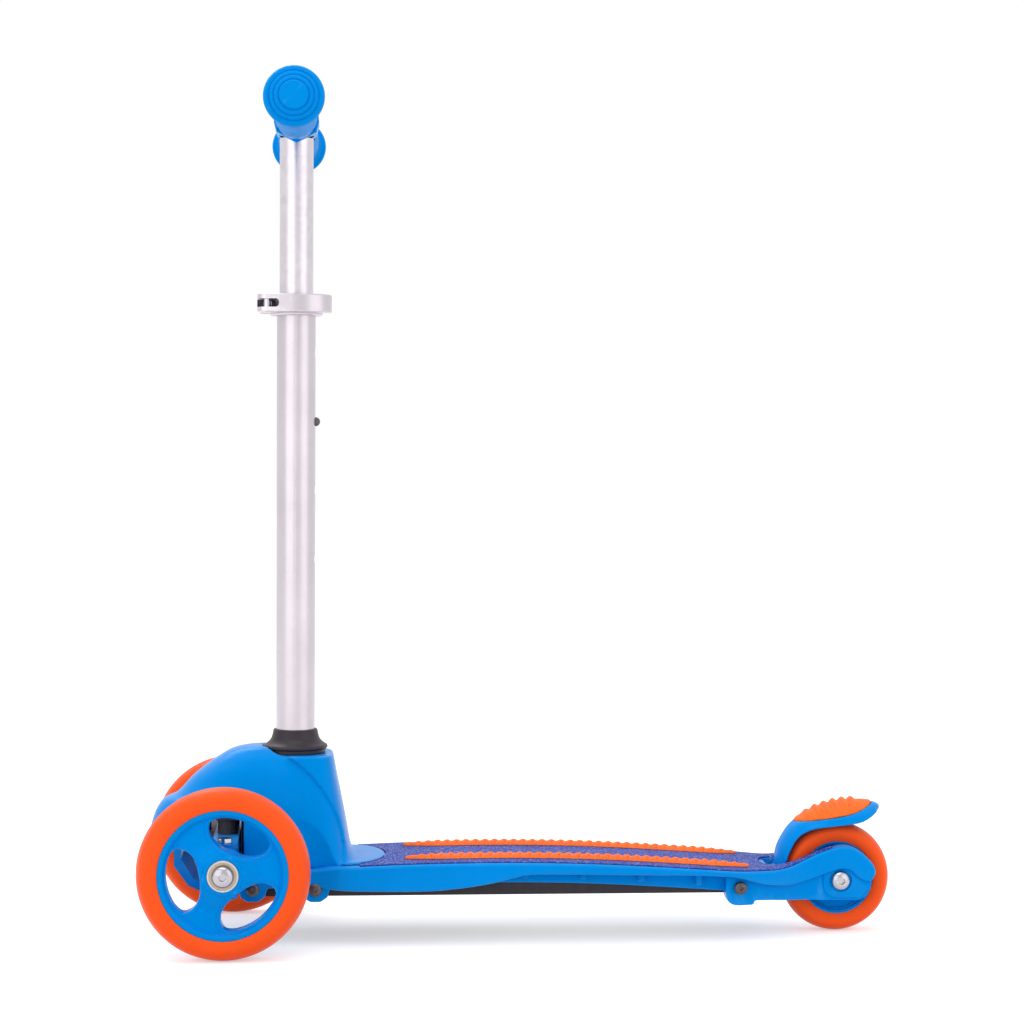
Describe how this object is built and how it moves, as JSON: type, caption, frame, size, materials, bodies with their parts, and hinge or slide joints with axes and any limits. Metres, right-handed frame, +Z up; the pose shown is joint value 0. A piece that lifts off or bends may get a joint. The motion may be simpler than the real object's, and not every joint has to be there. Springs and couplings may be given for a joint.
{
  "type": "three wheel kids scooter",
  "caption": "Small scooter that steers by leaning: two sprung front wheels, one braked rear wheel, a low deck and a handlebar on a height-adjustable column.",
  "frame": {"origin": "ground level, at the centre of the scooter's footprint box", "axes": "+X towards the front wheels, +Y towards the rider's left, +Z up"},
  "size_m": [0.545, 0.29, 0.6093],
  "materials": {
    "blue_plastic": "moulded, softly glossy",
    "blue_rubber": "satin",
    "orange_tyre": "satin cast polyurethane",
    "orange_rubber": "matt, studded",
    "grip_sheet": "fine glitter grain",
    "black_plastic": "matt",
    "black_steel": "satin powder coat",
    "bumper_rubber": "matt",
    "aluminium": "satin anodised",
    "zinc_steel": "bright zinc",
    "dark_steel": "dull, darkened"
  },
  "bodies": {
    "chassis": {"deck": "blue_plastic", "deck_grip_sheet": "grip_sheet", "left_tread_strip": "orange_rubber", "right_tread_strip": "orange_rubber", "underframe_channel": "black_steel", "front_housing": "blue_plastic", "tube_socket": "black_plastic", "tube_cross_bolt": "zinc_steel", "front_cross_bolt": "dark_steel", "middle_cross_bolt": "dark_steel", "rear_cross_bolt": "dark_steel", "lean_pivot_bolt": "zinc_steel", "tie_rod_drive_pin": "zinc_steel", "rear_axle_bolt": "zinc_steel", "rear_axle_nut": "zinc_steel", "brake_pivot_pin": "zinc_steel", "brake_spring": "zinc_steel", "lower_tube": "aluminium", "base_collar": "black_plastic", "clamp_collar": "aluminium", "clamp_bolt": "zinc_steel"},
    "front_axle": {"axle_carrier": "blue_plastic", "left_kingpin": "zinc_steel", "right_kingpin": "zinc_steel", "left_bumper": "bumper_rubber", "right_bumper": "bumper_rubber"},
    "tie_rod": {"tie_rod": "black_plastic"},
    "left_knuckle": {"left_knuckle": "blue_plastic", "left_axle_bolt": "zinc_steel"},
    "right_knuckle": {"right_knuckle": "blue_plastic", "right_axle_bolt": "zinc_steel"},
    "left_wheel": {"left_tyre": "orange_tyre", "left_hub": "blue_plastic", "left_bearing_spacer": "zinc_steel", "left_outer_bearing": "zinc_steel", "left_inner_bearing": "zinc_steel"},
    "right_wheel": {"right_tyre": "orange_tyre", "right_hub": "blue_plastic", "right_bearing_spacer": "zinc_steel", "right_outer_bearing": "zinc_steel", "right_inner_bearing": "zinc_steel"},
    "rear_wheel": {"rear_tyre": "orange_tyre", "rear_hub": "blue_plastic", "rear_bearing_spacer": "zinc_steel", "rear_left_bearing": "zinc_steel", "rear_right_bearing": "zinc_steel"},
    "brake": {"brake_fender": "blue_plastic", "brake_pad": "orange_rubber"},
    "clamp_lever": {"clamp_lever": "aluminium", "lever_pin": "zinc_steel"},
    "handlebar": {"upper_tube": "aluminium", "tube_guide_plug": "black_plastic", "handlebar_cross_tube": "aluminium", "handlebar_tee": "blue_plastic", "left_grip": "blue_rubber", "right_grip": "blue_rubber", "snap_spring": "zinc_steel"},
    "snap_button": {"snap_button": "zinc_steel"}
  },
  "joints": [
    {"name": "lean", "type": "hinge", "parent": "chassis", "child": "front_axle", "pos_m": [0.2125, 0, 0.055], "axis": [1, 0, 0], "range_deg": [-10, 10], "stiffness_Nm_per_rad": 30, "deforming": ["left_bumper", "right_bumper"]},
    {"name": "tie_rod_slide", "type": "slide", "parent": "front_axle", "child": "tie_rod", "axis": [0, 1, 0], "range_m": [-0.0038, 0.0038]},
    {"name": "left_steer", "type": "hinge", "parent": "front_axle", "child": "left_knuckle", "pos_m": [0.2125, 0.066, 0.06], "axis": [0, 0, 1], "range_deg": [-14.2, 14.2]},
    {"name": "right_steer", "type": "hinge", "parent": "front_axle", "child": "right_knuckle", "pos_m": [0.2125, -0.066, 0.06], "axis": [0, 0, 1], "range_deg": [-14.2, 14.2]},
    {"name": "left_wheel_spin", "type": "hinge", "parent": "left_knuckle", "child": "left_wheel", "pos_m": [0.2125, 0.092, 0.06], "axis": [0, 1, 0], "continuous": true},
    {"name": "right_wheel_spin", "type": "hinge", "parent": "right_knuckle", "child": "right_wheel", "pos_m": [0.2125, -0.092, 0.06], "axis": [0, 1, 0], "continuous": true},
    {"name": "rear_wheel_spin", "type": "hinge", "parent": "chassis", "child": "rear_wheel", "pos_m": [-0.2325, 0, 0.04], "axis": [0, 1, 0], "continuous": true},
    {"name": "brake_press", "type": "hinge", "parent": "chassis", "child": "brake", "pos_m": [-0.187, 0, 0.044], "axis": [0, -1, 0], "range_deg": [0, 3], "stiffness_Nm_per_rad": 4, "springref_deg": -5.73, "deforming": ["brake_spring"]},
    {"name": "clamp_release", "type": "hinge", "parent": "chassis", "child": "clamp_lever", "pos_m": [0.1851, 0.0168, 0.4577], "axis": [0, 0, -1], "range_deg": [0, 120]},
    {"name": "handlebar_height", "type": "slide", "parent": "chassis", "child": "handlebar", "axis": [0, 0, 1], "range_m": [-0.1, 0.05], "deforming": ["snap_button"]},
    {"name": "button_press", "type": "slide", "parent": "handlebar", "child": "snap_button", "axis": [1, 0, 0], "range_m": [0, 0.0055], "stiffness_N_per_m": 600, "springref_m": -0.003, "deforming": ["snap_spring"]}
  ],
  "couplings": [
    {"joint": "tie_rod_slide", "follows": "lean", "m_per_rad": 0.021},
    {"joint": "left_steer", "follows": "lean", "ratio": 1.4},
    {"joint": "right_steer", "follows": "lean", "ratio": 1.4}
  ]
}
